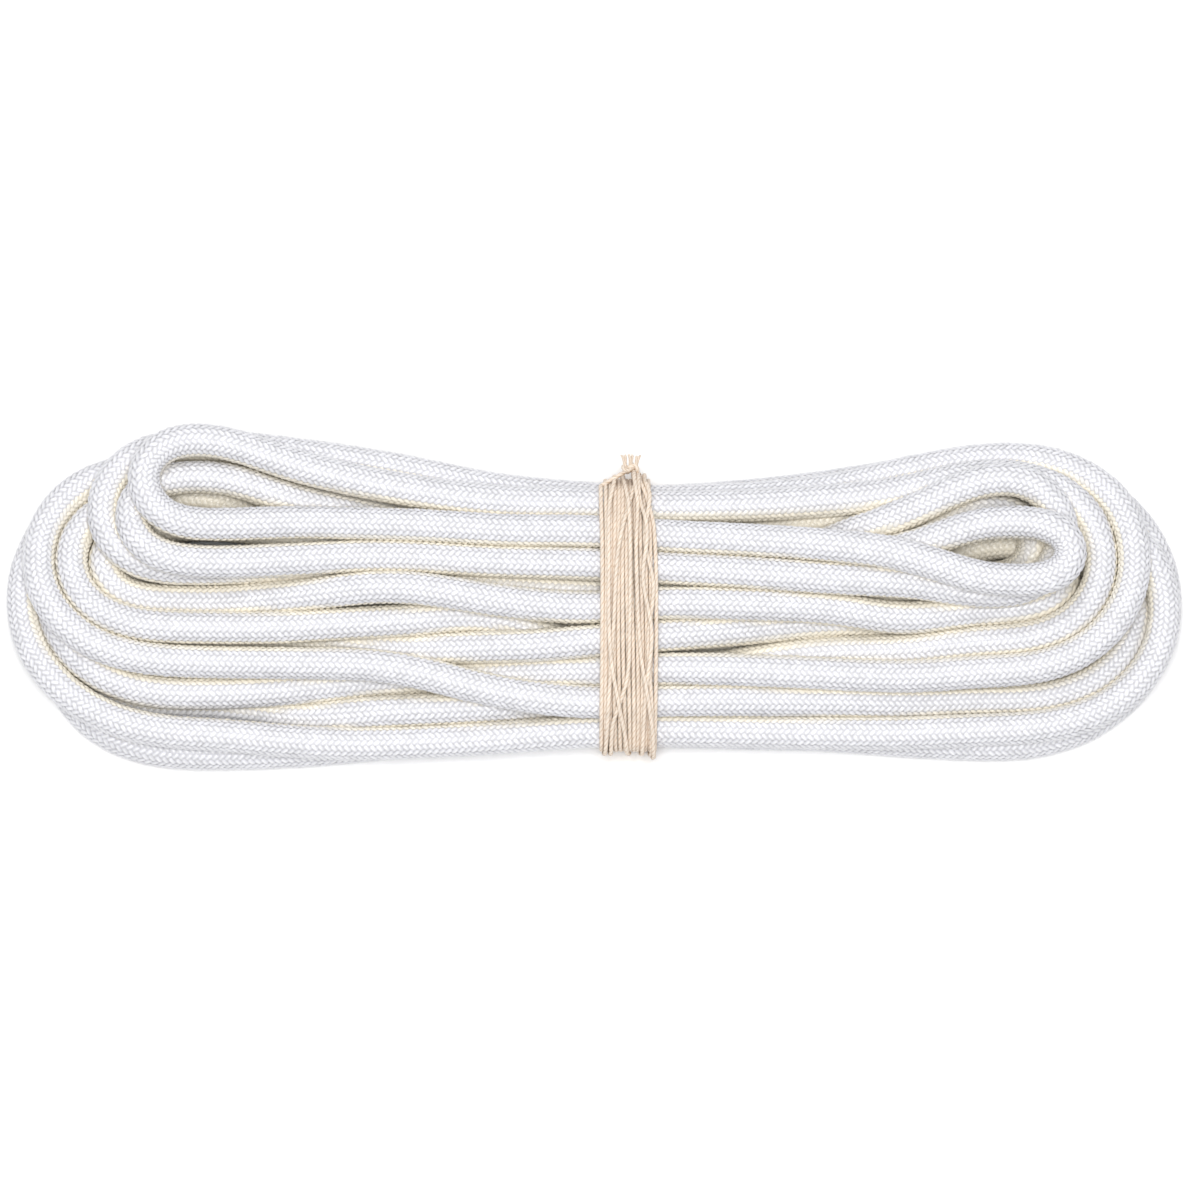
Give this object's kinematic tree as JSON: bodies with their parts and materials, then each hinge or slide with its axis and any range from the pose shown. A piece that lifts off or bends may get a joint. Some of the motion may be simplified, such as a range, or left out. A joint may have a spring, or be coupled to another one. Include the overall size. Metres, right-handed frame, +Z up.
{
  "type": "coiled dock line",
  "caption": "White double-braid dock line coiled into a long flat hank with looped ends, tied round the middle with a band of cotton twine",
  "frame": {"origin": "centre of the hank's footprint, on the surface it lies on", "axes": "+X along the hank, towards the lobe nearer the tie; +Y across it, towards the side with the knot; +Z up"},
  "size_m": [0.334, 0.097, 0.037],
  "materials": {
    "rope": "braided polyester, soft sheen",
    "sealed_tip": "melted polyester",
    "twine": "twisted cotton"
  },
  "bodies": {
    "root": {"rope_hank": "rope", "rope_tip_start": "sealed_tip", "rope_tip_end": "sealed_tip", "tie_band": "twine", "tie_knot": "twine", "tie_tail_1": "twine", "tie_tail_2": "twine", "tie_tail_3": "twine"}
  },
  "joints": []
}
